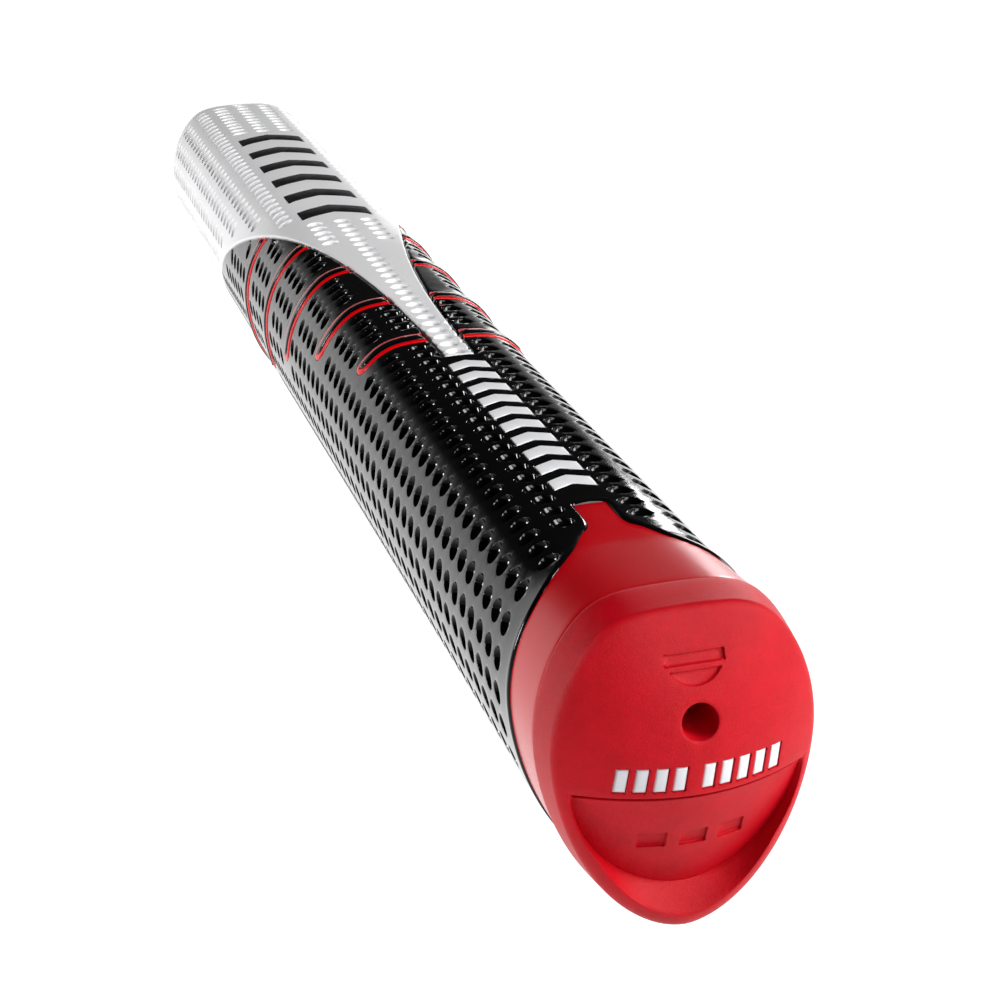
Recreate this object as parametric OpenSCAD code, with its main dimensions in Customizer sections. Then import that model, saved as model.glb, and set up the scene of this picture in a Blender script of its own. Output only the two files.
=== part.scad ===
// Putter grip with one thumb flat and a reverse taper: thicker at the mouth than at the butt.
// Units are millimetres. +Y runs along the shaft bore, from the closed butt to the open mouth.
// +Z is the outward normal of the thumb flat. The origin is where the end of the shaft stops.

/* [Bore] */
// radius of the moulded core, made for a 0.580 inch shaft
bore_radius = 7.366; // [7:0.001:7.8]
// radius of the air vent through the butt cap
vent_radius = 1.6; // [1:0.1:3]

/* [Body] */
// length from the shaft stop to the mouth
body_length = 258.5; // [230:0.5:290]
// half width at the neck, just ahead of the collar
neck_half_width = 12.3; // [10:0.1:16]
// half width just behind the mouth
mouth_half_width = 14.7; // [11:0.1:20]
// height of the thumb flat above the bore axis at the neck
neck_flat_height = 8.8; // [8:0.05:14]
// height of the thumb flat above the bore axis at the mouth
mouth_flat_height = 10.75; // [9:0.05:16]
// depth of the rounded back below the bore axis
back_depth = 23.6; // [18:0.1:28]
// thickness of the rubber skins over the core
skin_thickness = 1; // [0.8:0.1:1.2]

/* [Butt cap] */
// half width of the cap where it meets the collar
cap_half_width = 12.5; // [10:0.1:16]
// height of the cap's flat side above the bore axis
cap_flat_height = 9.8; // [8:0.1:14]
// depth of the cap's back below the bore axis
cap_back_depth = 22.5; // [18:0.1:28]
// length of the cap's side wall before its edge rolls over
cap_wall = 3.7; // [1:0.1:6]
// length over which the edge of the cap rolls into its face
cap_roll = 1; // [0.5:0.1:3]
// rise of the domed face from its edge to its middle
dome_rise = 3.7; // [1:0.1:6]

/* [Skins] */
// width of the collar skin, along the bore
collar_width = 7.9; // [4:0.1:12]
// end of the collar's tongue on the thumb flat
tongue_end = 22.4; // [14:0.1:30]
// half width of the tongue
tongue_half_width = 1.75; // [1:0.05:3]
// end of the tip skin's tail on the thumb flat
tail_end = 72.9; // [60:0.1:100]
// half width of the tail at its end
tail_half_width = 1.95; // [1.8:0.05:4]
// length from the tail's end to the skin's edge on the back of the grip
arch_length = 137; // [100:1:160]

/* [Accent bands] */
// number of bands on each side of the tail
band_count = 5; // [1:1:6]
// place of the first band along the bore
band_start = 81.4; // [70:0.1:100]
// spacing of the bands
band_pitch = 18.2; // [12:0.1:24]
// half width of a band
band_half_width = 1.7; // [1:0.1:3]

/* [Marks] */
// number of sighting chevrons on the thumb flat
sight_count = 10; // [4:1:12]
// number of chevrons on the tip skin
tip_mark_count = 6; // [3:1:8]
// number of bars inlaid in the cap's face
cap_bar_count = 9; // [5:1:11]

/* [Hidden] */
black = [0.03, 0.03, 0.035];
white = [0.88, 0.88, 0.9];
red = [0.72, 0.01, 0.06];

// The section: half an oval above the widest line, half a fuller oval below it, cut by the flat.
widest_drop = 3.5;
crown = 1.13;
flat_blend = 16;
back_fullness = 1.8;
neck_y = 13;
shoulder_y = 251;
mouth_shrink = 0.5;
mouth_roll = 0.8;
end_wall = 2;
collar_inset = 0.2;
band_inset = 0.15;
band_bow = 0.01;
cutter_margin = 0.6;

function half_width(y) = lookup(y, [
    [0, cap_half_width],
    [neck_y, neck_half_width],
    [shoulder_y, mouth_half_width],
    [body_length, mouth_half_width - mouth_shrink]]);

function flat_height(y) = lookup(y, [
    [0, cap_flat_height],
    [neck_y, neck_flat_height],
    [shoulder_y, mouth_flat_height],
    [body_length, mouth_flat_height - mouth_shrink]]);

function back_height(y) = lookup(y, [
    [0, cap_back_depth],
    [neck_y, back_depth],
    [shoulder_y, back_depth],
    [body_length, back_depth - mouth_shrink]]);

function power_sum(p, q, n) = pow(pow(p, -n) + pow(q, -n), -1 / n);

// Distance from the widest line's middle to the outline, in direction a from the flat's normal.
function outline_radius(y, a) =
    let (
        w = half_width(y) / max(abs(sin(a)), 0.0001),
        up = (flat_height(y) + widest_drop) / max(cos(a), 0.0001),
        down = (back_height(y) - widest_drop) / max(-cos(a), 0.0001))
    cos(a) > 0
        ? power_sum(power_sum(w, crown * up, 2), up, flat_blend)
        : power_sum(w, down, back_fullness);

function body_point(y, a, depth) =
    let (r = outline_radius(y, a) - depth)
    [r * sin(a), y, r * cos(a) - widest_drop];

function ring(y, depth, angles) = [for (a = angles) body_point(y, a, depth)];

// Arc length round half of the middle section, and the angle that each length reaches.
girth_y = body_length / 2;
girth_step = 2;
girth = [for (
    a = 0, s = 0;
    a <= 180;
    s = s + norm(body_point(girth_y, a + girth_step, 0) - body_point(girth_y, a, 0)),
    a = a + girth_step) [s, a]];
half_girth = girth[len(girth) - 1][0];
function angle_at(s) = sign(s) * lookup(abs(s), girth);

// Columns of the wrapped skins, as arc lengths from the middle of the flat: close together
// beside the tongue and the tail, wider apart on the back.
column_count = 22;
column_growth = 1.35;
side_arcs = [
    tongue_half_width,
    for (i = [0:column_count]) tail_half_width
        + (half_girth - tail_half_width) * pow(i / column_count, column_growth)];
arcs = [
    for (i = [len(side_arcs) - 2:-1:0]) -side_arcs[i],
    0,
    each side_arcs];
angles = [for (s = arcs) angle_at(s)];

// Front edge of the collar skin: a level band with a tongue along the flat.
tongue_flare = 9.2;
flare_reach = 4.2;
function collar_edge(s) = abs(s) <= tongue_half_width
    ? tongue_end
    : collar_width + tongue_flare * exp(-pow((abs(s) - tongue_half_width) / flare_reach, 1.5));

// Rear edge of the tip skin: a tail along the flat that spreads into an arch on each flank.
arch_power = 0.45;
function arch_edge(s) = abs(s) <= tail_half_width
    ? tail_end
    : tail_end + arch_length * pow(
        sin(90 * (abs(s) - tail_half_width) / (half_girth - tail_half_width)), arch_power);
function tail_reach(y) = tail_half_width
    + (half_girth - tail_half_width) * asin(pow((y - tail_end) / arch_length, 1 / arch_power)) / 90;

// A solid made of one closed loop of points per column. It closes on itself round the body,
// or ends in two flat faces.
module wrapped(loops, closed) {
    m = len(loops[0]);
    n = len(loops);
    last = closed ? n - 1 : n - 2;
    sides = [for (j = [0:last], i = [0:m - 1])
        let (
            p = j * m + i,
            q = j * m + (i + 1) % m,
            r = ((j + 1) % n) * m + (i + 1) % m,
            t = ((j + 1) % n) * m + i)
        each [[p, q, r], [p, r, t]]];
    first_end = [for (i = [m - 1:-1:0]) i];
    last_end = [for (i = [0:m - 1]) (n - 1) * m + i];
    polyhedron(
        points = [for (loop = loops) each loop],
        faces = closed ? sides : concat(sides, [first_end, last_end]),
        convexity = 10);
}

// A solid made of level rings from the butt end to the mouth end.
module loft(rings) {
    m = len(rings[0]);
    n = len(rings);
    sides = [for (j = [0:n - 2], i = [0:m - 1])
        let (
            p = j * m + i,
            q = j * m + (i + 1) % m,
            r = (j + 1) * m + (i + 1) % m,
            t = (j + 1) * m + i)
        each [[p, t, r], [p, r, q]]];
    first_end = [for (i = [0:m - 1]) i];
    last_end = [for (i = [m - 1:-1:0]) (n - 1) * m + i];
    polyhedron(
        points = [for (r = rings) each r],
        faces = concat(sides, [first_end, last_end]),
        convexity = 4);
}

// One loop of a skin at arc length s: out along the surface from y0 to y1, and back inside.
skin_rows = [0, 0.03, 0.08, 0.3, 0.65, 1];
function skin_loop(s, y0, y1, rows, top, bottom) =
    let (a = angle_at(s))
    [
        for (f = rows) body_point(y0 + (y1 - y0) * f, a, top),
        for (i = [len(rows) - 1:-1:0]) body_point(y0 + (y1 - y0) * rows[i], a, bottom)];

module bore_cylinder(radius, y0, y1) {
    translate([0, y0, 0])
        rotate([-90, 0, 0])
            cylinder(h = y1 - y0, r = radius, $fn = 96);
}

// Accent bands: strips across each side, bowed towards the mouth, with a round outer end.
function band_y(i) = band_start + band_pitch * (i - 1);
function band_end(i) = 12.5 + 3.1 * (i - 1) + 0.95 * pow(i - 1, 2);
function band_half(i, s) =
    let (over = max(abs(s) - (band_end(i) - band_half_width), 0))
    band_half_width * sqrt(max(1 - pow(over / band_half_width, 2), end_flatness));
function band_middle(i, s) = band_y(i) + band_bow * s * s;

// Arc length at which a band comes out from under the edge of the tail.
function band_exit(i) = tail_reach(band_middle(i, tail_reach(band_y(i))) - band_half_width);

// The groove for a band starts under the tail, and the band itself just clear of the tail's edge.
band_clearance = 0.25;
groove_overrun = 1;
band_columns = 14;
end_columns = 4;
end_flatness = 0.02;
module band_solid(i, side, top, bottom, clip) {
    start = band_exit(i) + (clip ? band_clearance : -groove_overrun);
    round_start = band_end(i) - band_half_width;
    places = [
        for (k = [0:band_columns]) start + (round_start - start) * k / band_columns,
        for (k = [1:end_columns]) round_start + band_half_width * sin(90 * k / end_columns)];
    wrapped([
        for (k = [0:len(places) - 1])
            let (
                s = side > 0 ? places[k] : -places[len(places) - 1 - k],
                low = band_middle(i, s) - band_half(i, s),
                high = band_middle(i, s) + band_half(i, s))
            skin_loop(s, low, clip ? min(high, arch_edge(s)) : high, [0, 1], top, bottom)
    ], false);
}

module accent_band(i, side) {
    color(red)
        band_solid(i, side, band_inset, skin_thickness, true);
}

// A chevron across the flat, pointing to the mouth, as deep as the skin.
chevron_slope = 0.5;
chevron_steps = 4;
module chevron(y, half, thickness, top, bottom) {
    wrapped([
        for (k = [-chevron_steps:chevron_steps])
            let (
                s = half * k / chevron_steps,
                low = y + chevron_slope * (half - abs(s)))
            skin_loop(s, low, low + thickness, [0, 1], top, bottom)
    ], false);
}

sight_start = 26.4;
sight_pitch = 4.5;
sight_half = 2.4;
sight_thickness = 2.6;
module sight_solid(i, top, bottom) {
    chevron(sight_start + sight_pitch * (i - 1), sight_half, sight_thickness, top, bottom);
}

module sight_mark(i) {
    color(white)
        sight_solid(i, 0, skin_thickness);
}

tip_mark_start = 150;
tip_mark_pitch = 12.4;
tip_mark_half = 5.4;
tip_mark_thickness = 5.2;
module tip_mark_solid(i, top, bottom) {
    chevron(tip_mark_start + tip_mark_pitch * (i - 1), tip_mark_half, tip_mark_thickness, top, bottom);
}

module tip_mark(i) {
    color(black)
        tip_mark_solid(i, 0, skin_thickness);
}

// Moulded core with the shaft bore.
module core() {
    color([0.12, 0.12, 0.13])
        difference() {
            loft([for (y = [0, neck_y, shoulder_y, body_length - end_wall])
                ring(y, skin_thickness, angles)]);
            bore_cylinder(bore_radius, -1, body_length);
        }
}

// Red collar with its tongue.
module collar_skin() {
    color(red)
        wrapped([for (s = arcs)
            skin_loop(s, 0, collar_edge(s), [0, 0.6, 1], collar_inset, skin_thickness)
        ], true);
}

// Black main skin, between the collar and the tip skin.
module grip_skin() {
    color(black)
        difference() {
            wrapped([for (s = arcs)
                skin_loop(s, collar_edge(s), arch_edge(s), skin_rows, 0, skin_thickness)
            ], true);
            for (i = [1:band_count], side = [-1, 1])
                band_solid(i, side, -cutter_margin, skin_thickness + cutter_margin, false);
            for (i = [1:sight_count])
                sight_solid(i, -cutter_margin, skin_thickness + cutter_margin);
        }
}

// White tip skin: a tail on the flat, a sleeve round the front, and a wall across the mouth.
tip_rows = [0, 0.4, 0.8, 1];
throat_radius = bore_radius - 0.4;
function throat_point(y, a) = [throat_radius * sin(a), y, throat_radius * cos(a)];
module tip_skin() {
    color(white)
        difference() {
            wrapped([for (s = arcs)
                let (
                    a = angle_at(s),
                    edge = arch_edge(s))
                [
                    for (f = tip_rows) body_point(edge + (shoulder_y - edge) * f, a, 0),
                    body_point(body_length - 2 * mouth_roll, a, 0),
                    body_point(body_length - mouth_roll / 2, a, mouth_roll / 3),
                    body_point(body_length, a, mouth_roll),
                    throat_point(body_length, a),
                    throat_point(body_length - end_wall, a),
                    body_point(body_length - end_wall, a, skin_thickness),
                    for (i = [len(tip_rows) - 1:-1:0])
                        body_point(edge + (shoulder_y - edge) * tip_rows[i], a, skin_thickness)]
            ], true);
            bore_cylinder(bore_radius, body_length - 2 * end_wall, body_length + 1);
            for (i = [1:tip_mark_count])
                tip_mark_solid(i, -cutter_margin, skin_thickness + cutter_margin);
        }
}

// The cap's body: a side wall with a little draft, a rolled edge and a domed face.
roll_steps = 3;
roll_inset = 1.3;
cap_draft = 0.5;
dome_scales = [0.2, 0.38, 0.62, 0.9];
dome_centre = -5;
face_edge = ring(0, roll_inset, angles);
function dome_ring(scale) = [for (p = face_edge)
    [p.x * scale, -cap_wall - cap_roll - dome_rise * (1 - scale * scale),
        dome_centre + (p.z - dome_centre) * scale]];
module cap_body() {
    loft([
        for (f = dome_scales) dome_ring(f),
        for (k = [0:roll_steps])
            ring(-cap_wall - cap_roll * cos(90 * k / roll_steps),
                cap_draft + (roll_inset - cap_draft) * (1 - sin(90 * k / roll_steps)), angles),
        ring(0, 0, angles)]);
}

// The part of a prism that lies within a depth of the cap's face. A tilted layer turns about the
// panel's line, so that its depth there stays the same.
panel_line = -6.5;
crest_y = -cap_wall - cap_roll - dome_rise;
module face_layer(depth, tilt) {
    difference() {
        children();
        translate([0, depth + crest_y, panel_line])
            rotate([tilt, 0, 0])
                translate([0, -crest_y, -panel_line])
                    cap_body();
    }
}

prism_length = 12;
module prism() {
    rotate([90, 0, 0])
        linear_extrude(height = prism_length)
            children();
}

// Slanted bars in two groups across the face.
bar_width = 1.15;
bar_height = 2.3;
bar_pitch = 1.62;
bar_slant = 0.35;
bar_line = -6;
first_group = 4;
group_gap = 0.45;
function bar_x(k) = bar_pitch * (k - (cap_bar_count - 1) / 2)
    + (k < first_group ? -group_gap : group_gap);
module bar_outline(k) {
    translate([bar_x(k), bar_line])
        polygon([
            [-bar_width / 2, 0],
            [bar_width / 2, 0],
            [bar_width / 2 + bar_slant, bar_height],
            [-bar_width / 2 + bar_slant, bar_height]]);
}

// The recessed panel under the bars: a straight top edge and a round bottom. Its floor slopes
// inwards from a small step at the straight edge.
panel_half_width = 10.4;
panel_depth = 11.2;
panel_steps = 24;
panel_recess = 0.42;
panel_fall = 2.3;
panel_tilt = 10.2;
panel_slimness = 1.12;
function panel_point(turn, scale) = [
    scale * panel_half_width * cos(turn),
    panel_line - scale * panel_depth * pow(sin(turn), panel_slimness)];
module panel_outline() {
    polygon([for (k = [0:panel_steps]) panel_point(180 * k / panel_steps, 1)]);
}

// The hollow round the panel: a wall that rises from the panel's floor to a ridge near the
// edge of the face. Each of its loops is [ridge outside, ridge, floor, floor outside].
ridge_share = 0.955;
ridge_gap = 0.3;
hollow_scale = 0.98;
hollow_lift = 0.1;
edge_table = [for (p = face_edge) if (p.x >= 0)
    [atan2(p.x, p.z - dome_centre), norm([p.x, p.z - dome_centre])]];
function edge_reach(p) = lookup(atan2(abs(p.x), p.y - dome_centre), edge_table);
function face_y(p) =
    let (share = norm([p.x, p.y - dome_centre]) / edge_reach(p))
    crest_y + dome_rise * share * share;
function ridge_point(p) =
    let (
        reach = norm([p.x, p.y - dome_centre]),
        grow = max(ridge_share * edge_reach(p), reach + ridge_gap) / reach)
    [p.x * grow, dome_centre + (p.y - dome_centre) * grow];
function hollow_loop(turn) =
    let (
        p = panel_point(turn, hollow_scale),
        r = ridge_point(p),
        floor_y = face_y(p) + panel_recess + panel_fall * (panel_line - p.y) / panel_depth - hollow_lift)
    [[r.x, -prism_length, r.y], [r.x, face_y(r), r.y], [p.x, floor_y, p.y], [p.x, -prism_length, p.y]];
module hollow() {
    wrapped([for (k = [0:2 * panel_steps]) hollow_loop(90 * k / panel_steps)], false);
}

// Sunk symbols: a flat over a round back for the shape, and a row of three pips for the size.
symbol_radius = 2.7;
symbol_line = 0.95;
symbol_top = 5.7;
symbol_gap = 0.45;
module shape_symbol() {
    translate([-symbol_radius, symbol_top - symbol_line])
        square([2 * symbol_radius, symbol_line]);
    translate([0, symbol_top])
        difference() {
            circle(r = symbol_radius, $fn = 48);
            translate([-2 * symbol_radius, -symbol_line - symbol_gap])
                square(4 * symbol_radius);
        }
}

pip_pitch = 3.6;
pip_width = 2.4;
pip_height = 1.7;
pip_line = -12.6;
module size_symbol() {
    for (k = [-1:1])
        translate([pip_pitch * k - pip_width / 2, pip_line])
            square([pip_width, pip_height]);
}

inlay_depth = 0.5;
sunk_depth = 0.35;
module butt_cap() {
    color(red)
        difference() {
            cap_body();
            face_layer(panel_recess, panel_tilt)
                prism()
                    panel_outline();
            hollow();
            face_layer(inlay_depth, 0)
                prism()
                    for (k = [0:cap_bar_count - 1])
                        bar_outline(k);
            face_layer(sunk_depth, 0)
                prism()
                    shape_symbol();
            face_layer(panel_recess + sunk_depth, panel_tilt)
                prism()
                    size_symbol();
            bore_cylinder(vent_radius, -prism_length, 1);
        }
}

// White bars set into the cap's face.
module cap_inlay() {
    color(white)
        difference() {
            intersection() {
                cap_body();
                prism()
                    for (k = [0:cap_bar_count - 1])
                        bar_outline(k);
            }
            translate([0, inlay_depth, 0])
                cap_body();
        }
}

core();
butt_cap();
cap_inlay();
collar_skin();
grip_skin();
tip_skin();
for (i = [1:band_count]) {
    accent_band(i, -1);
    accent_band(i, 1);
}
for (i = [1:sight_count])
    sight_mark(i);
for (i = [1:tip_mark_count])
    tip_mark(i);
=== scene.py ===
"""Looks for a putter grip with one thumb flat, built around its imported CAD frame.

Lengths in this script are millimetres until a piece is made, and metres in Blender. +Y runs from the
butt cap to the mouth and +Z is the normal of the thumb flat. A skin is drawn flat, as arc length s
from the middle of the thumb flat and distance y along the bore, and is then wrapped round the body.
"""

import math

import bmesh
import bpy
import numpy as np
from mathutils import Matrix, Vector
from mathutils.geometry import delaunay_2d_cdt


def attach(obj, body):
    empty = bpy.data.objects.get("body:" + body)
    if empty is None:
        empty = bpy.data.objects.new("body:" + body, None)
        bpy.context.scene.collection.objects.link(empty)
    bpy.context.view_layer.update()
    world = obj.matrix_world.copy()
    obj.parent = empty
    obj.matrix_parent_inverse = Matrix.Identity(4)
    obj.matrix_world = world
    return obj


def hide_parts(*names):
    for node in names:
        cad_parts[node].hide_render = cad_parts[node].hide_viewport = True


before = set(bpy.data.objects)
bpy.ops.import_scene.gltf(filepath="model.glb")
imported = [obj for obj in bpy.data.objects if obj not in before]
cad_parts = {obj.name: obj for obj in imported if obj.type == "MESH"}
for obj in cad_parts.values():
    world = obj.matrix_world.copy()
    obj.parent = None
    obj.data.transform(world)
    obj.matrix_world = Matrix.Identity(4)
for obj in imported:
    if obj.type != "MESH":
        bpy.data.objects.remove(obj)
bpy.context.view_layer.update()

MM = 0.001

# ---------------------------------------------------------------- driving dimensions
BODY_LENGTH = 258.5
NECK_Y = 13.0
SHOULDER_Y = 251.0
CAP_HALF_WIDTH = 12.5
NECK_HALF_WIDTH = 12.3
MOUTH_HALF_WIDTH = 14.7
CAP_FLAT_HEIGHT = 9.8
NECK_FLAT_HEIGHT = 8.8
MOUTH_FLAT_HEIGHT = 10.75
CAP_BACK_DEPTH = 22.5
BACK_DEPTH = 23.6
MOUTH_SHRINK = 0.5
WIDEST_DROP = 3.5
CROWN = 1.13
FLAT_BLEND = 16
BACK_FULLNESS = 1.8
SKIN_THICKNESS = 1.0
BORE_RADIUS = 7.366
VENT_RADIUS = 1.6

COLLAR_WIDTH = 7.9
TONGUE_END = 22.4
TONGUE_HALF_WIDTH = 1.75
TONGUE_FLARE = 9.2
FLARE_REACH = 4.2
TAIL_END = 72.9
TAIL_HALF_WIDTH = 1.95
ARCH_LENGTH = 137.0
ARCH_POWER = 0.45
COLLAR_INSET = 0.2

BAND_COUNT = 5
BAND_START = 81.4
BAND_PITCH = 18.2
BAND_HALF_WIDTH = 1.7
BAND_BOW = 0.01
# A band reaches further round the grip than the one before it, by a step that grows.
BAND_REACH = 12.5
BAND_REACH_STEP = 3.1
BAND_REACH_GROWTH = 0.95

SIGHT_COUNT = 10
SIGHT_START = 26.4
SIGHT_PITCH = 4.5
SIGHT_HALF = 2.4
SIGHT_THICKNESS = 2.6
TIP_MARK_COUNT = 6
TIP_MARK_START = 150.0
TIP_MARK_PITCH = 12.4
TIP_MARK_HALF = 5.4
TIP_MARK_THICKNESS = 5.2
CHEVRON_SLOPE = 0.5

CAP_WALL = 3.7
CAP_ROLL = 1.0
CAP_DRAFT = 0.5
ROLL_INSET = 1.3
DOME_RISE = 3.7
DOME_CENTRE = -5.0

# Dimples: rows at fixed arc lengths from the middle of the flat, with all rows in step along the bore.
DIMPLE_FIRST_ROW = 4.1
DIMPLE_ROW_PITCH = 3.8
DIMPLE_START = 9.2
DIMPLE_PITCH = 3.11
DIMPLE_HALF_S = 1.3
DIMPLE_HALF_Y = 1.12
DIMPLE_SIDES = 16
# Rings within this share of the radius have half as many sides.
DIMPLE_COARSE_SHARE = 0.7
# Each ring of a dimple: share of its radius, and depth. Its middle has its own depth.
DIMPLE_RINGS = [(1.03, 0.0), (0.98, 0.06), (0.88, 0.45), (0.6, 0.77)]
DIMPLE_DEPTH = 0.86
# Half width of a dimple in the single row on the middle of the flat.
LADDER_HALF_S = 1.3
# Least distance from a dimple's middle to the edge of the black skin, of the white skin, and to the seam.
EDGE_MARGIN = 1.5
TIP_EDGE_MARGIN = 2.2
SEAM_MARGIN = 0.4
# The first dimple on the tail lies this far from its end.
TAIL_LEAD = 1.3


# ---------------------------------------------------------------- the body's shape
def lookup(x, table):
    return float(np.interp(x, [row[0] for row in table], [row[1] for row in table]))


def half_width(y):
    return lookup(y, [
        (0, CAP_HALF_WIDTH),
        (NECK_Y, NECK_HALF_WIDTH),
        (SHOULDER_Y, MOUTH_HALF_WIDTH),
        (BODY_LENGTH, MOUTH_HALF_WIDTH - MOUTH_SHRINK)])


def flat_height(y):
    return lookup(y, [
        (0, CAP_FLAT_HEIGHT),
        (NECK_Y, NECK_FLAT_HEIGHT),
        (SHOULDER_Y, MOUTH_FLAT_HEIGHT),
        (BODY_LENGTH, MOUTH_FLAT_HEIGHT - MOUTH_SHRINK)])


def back_height(y):
    return lookup(y, [
        (0, CAP_BACK_DEPTH),
        (NECK_Y, BACK_DEPTH),
        (SHOULDER_Y, BACK_DEPTH),
        (BODY_LENGTH, BACK_DEPTH - MOUTH_SHRINK)])


def power_sum(p, q, n):
    return (p ** -n + q ** -n) ** (-1 / n)


def outline_radius(y, a):
    """Distance from the widest line's middle to the outline, in direction a from the flat's normal."""
    tiny = 0.0001
    w = half_width(y) / max(abs(math.sin(a)), tiny)
    if math.cos(a) > 0:
        up = (flat_height(y) + WIDEST_DROP) / max(math.cos(a), tiny)
        return power_sum(power_sum(w, CROWN * up, 2), up, FLAT_BLEND)
    down = (back_height(y) - WIDEST_DROP) / max(-math.cos(a), tiny)
    return power_sum(w, down, BACK_FULLNESS)


def body_point(y, a, depth):
    r = outline_radius(y, a) - depth
    return Vector((r * math.sin(a), y, r * math.cos(a) - WIDEST_DROP))


GIRTH_STEP = math.radians(2)
GIRTH_ANGLES = [GIRTH_STEP * k for k in range(91)]


def girth_table():
    points = [body_point(BODY_LENGTH / 2, a, 0) for a in GIRTH_ANGLES]
    arcs = [0.0]
    for p, q in zip(points, points[1:]):
        arcs.append(arcs[-1] + (q - p).length)
    return arcs


GIRTH = girth_table()
HALF_GIRTH = GIRTH[-1]


def angle_at(s):
    return math.copysign(float(np.interp(abs(s), GIRTH, GIRTH_ANGLES)), s)


def wrap(s, y, depth):
    return body_point(y, angle_at(s), depth)


def collar_edge(s):
    if abs(s) <= TONGUE_HALF_WIDTH:
        return TONGUE_END
    reach = (abs(s) - TONGUE_HALF_WIDTH) / FLARE_REACH
    return COLLAR_WIDTH + TONGUE_FLARE * math.exp(-reach ** 1.5)


def arch_edge(s):
    if abs(s) <= TAIL_HALF_WIDTH:
        return TAIL_END
    share = (abs(s) - TAIL_HALF_WIDTH) / (HALF_GIRTH - TAIL_HALF_WIDTH)
    return TAIL_END + ARCH_LENGTH * math.sin(math.pi / 2 * min(share, 1)) ** ARCH_POWER


def tail_reach(y):
    share = math.asin(((y - TAIL_END) / ARCH_LENGTH) ** (1 / ARCH_POWER)) / (math.pi / 2)
    return TAIL_HALF_WIDTH + (HALF_GIRTH - TAIL_HALF_WIDTH) * share


def band_end(i):
    return BAND_REACH + BAND_REACH_STEP * (i - 1) + BAND_REACH_GROWTH * (i - 1) ** 2


def band_middle(i, s):
    return BAND_START + BAND_PITCH * (i - 1) + BAND_BOW * s * s


def band_half(i, s):
    over = max(abs(s) - (band_end(i) - BAND_HALF_WIDTH), 0)
    return BAND_HALF_WIDTH * math.sqrt(max(1 - (over / BAND_HALF_WIDTH) ** 2, 0))


# ---------------------------------------------------------------- flat drawings
def spaced(a, b, step):
    """Points from a to b, b left out, no further apart than step."""
    n = max(1, math.ceil((Vector(b) - Vector(a)).length / step))
    return [tuple(Vector(a).lerp(Vector(b), k / n)) for k in range(n)]


def resample(loop, step):
    out = []
    for a, b in zip(loop, loop[1:] + loop[:1]):
        out += spaced(a, b, step)
    return out


def offset_line(line, distance, closed):
    """The line moved to its left by distance, one point for each of its points."""
    out = []
    n = len(line)
    for k in range(n):
        before = line[(k - 1) % n] if closed or k > 0 else line[k]
        after = line[(k + 1) % n] if closed or k < n - 1 else line[k]
        one = Vector(line[k]) - Vector(before)
        two = Vector(after) - Vector(line[k])
        one = one.normalized() if one.length > 0 else two.normalized()
        two = two.normalized() if two.length > 0 else one
        along = (one + two).normalized()
        bend = max(along.dot(one), 0.5)
        out.append((line[k][0] - along.y * distance / bend, line[k][1] + along.x * distance / bend))
    return out


def distance_to(points, line):
    """Distance of each point from an open line of points."""
    p = np.asarray(points, float)
    a = np.asarray(line[:-1], float)
    d = np.asarray(line[1:], float) - a
    square = np.maximum((d * d).sum(1), 1e-12)
    out = np.empty(len(p))
    for start in range(0, len(p), 2000):
        q = p[start:start + 2000, None, :] - a[None]
        t = np.clip((q * d).sum(2) / square, 0, 1)
        out[start:start + 2000] = np.sqrt(((q - t[..., None] * d) ** 2).sum(2)).min(1)
    return out


def in_loop(p, loop):
    inside = False
    for (ax, ay), (bx, by) in zip(loop, loop[1:] + loop[:1]):
        if (ay > p[1]) != (by > p[1]) and p[0] < ax + (bx - ax) * (p[1] - ay) / (by - ay):
            inside = not inside
    return inside


def chevron_outline(start, half, thickness, step):
    tip = start + CHEVRON_SLOPE * half
    return resample([
        (-half, start), (0, tip), (half, start),
        (half, start + thickness), (0, tip + thickness), (-half, start + thickness)], step)


# ---------------------------------------------------------------- meshes
def sheet(place, outline, holes, points, flip=False):
    """Triangles over a flat drawing. Each point is (u, v, depth), and place puts it in space."""
    flat, loops = [], []
    for loop in [outline] + holes:
        turned = sum(a[0] * b[1] - a[1] * b[0] for a, b in zip(loop, loop[1:] + loop[:1]))
        numbers = list(range(len(flat), len(flat) + len(loop)))
        loops.append(numbers if turned > 0 else numbers[::-1])
        flat += loop
    flat += points
    verts, _, faces, origins, _, owners = delaunay_2d_cdt(
        [Vector(p[:2]) for p in flat], [], loops, 0, 1e-6, True)
    depths = [flat[o[0]][2] if o else 0.0 for o in origins]
    kept = [f for f, own in zip(faces, owners) if 0 in own and len(own) == 1]
    if flip:
        kept = [f[::-1] for f in kept]
    return [place(v.x, v.y, d) for v, d in zip(verts, depths)], kept


def strip(rows, closed):
    """Quads between rows of points in space."""
    n = len(rows[0])
    faces = []
    for j in range(len(rows) - 1):
        for k in range(n if closed else n - 1):
            a, b = j * n + k, j * n + (k + 1) % n
            faces.append((a, b, b + n, a + n))
    return [p for row in rows for p in row], faces


def level_normals(mesh):
    """Vertex normals weighted by face area, so that level ground stays level right up to a dimple."""
    total = np.zeros((len(mesh.vertices), 3))
    for face in mesh.polygons:
        total[list(face.vertices)] += np.array(face.normal) * face.area
    for edge in mesh.edges:
        if edge.use_edge_sharp:
            total[list(edge.vertices)] = 0
    length = np.linalg.norm(total, axis=1, keepdims=True)
    mesh.normals_split_custom_set_from_vertices(total / np.where(length > 0, length, 1))


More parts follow.
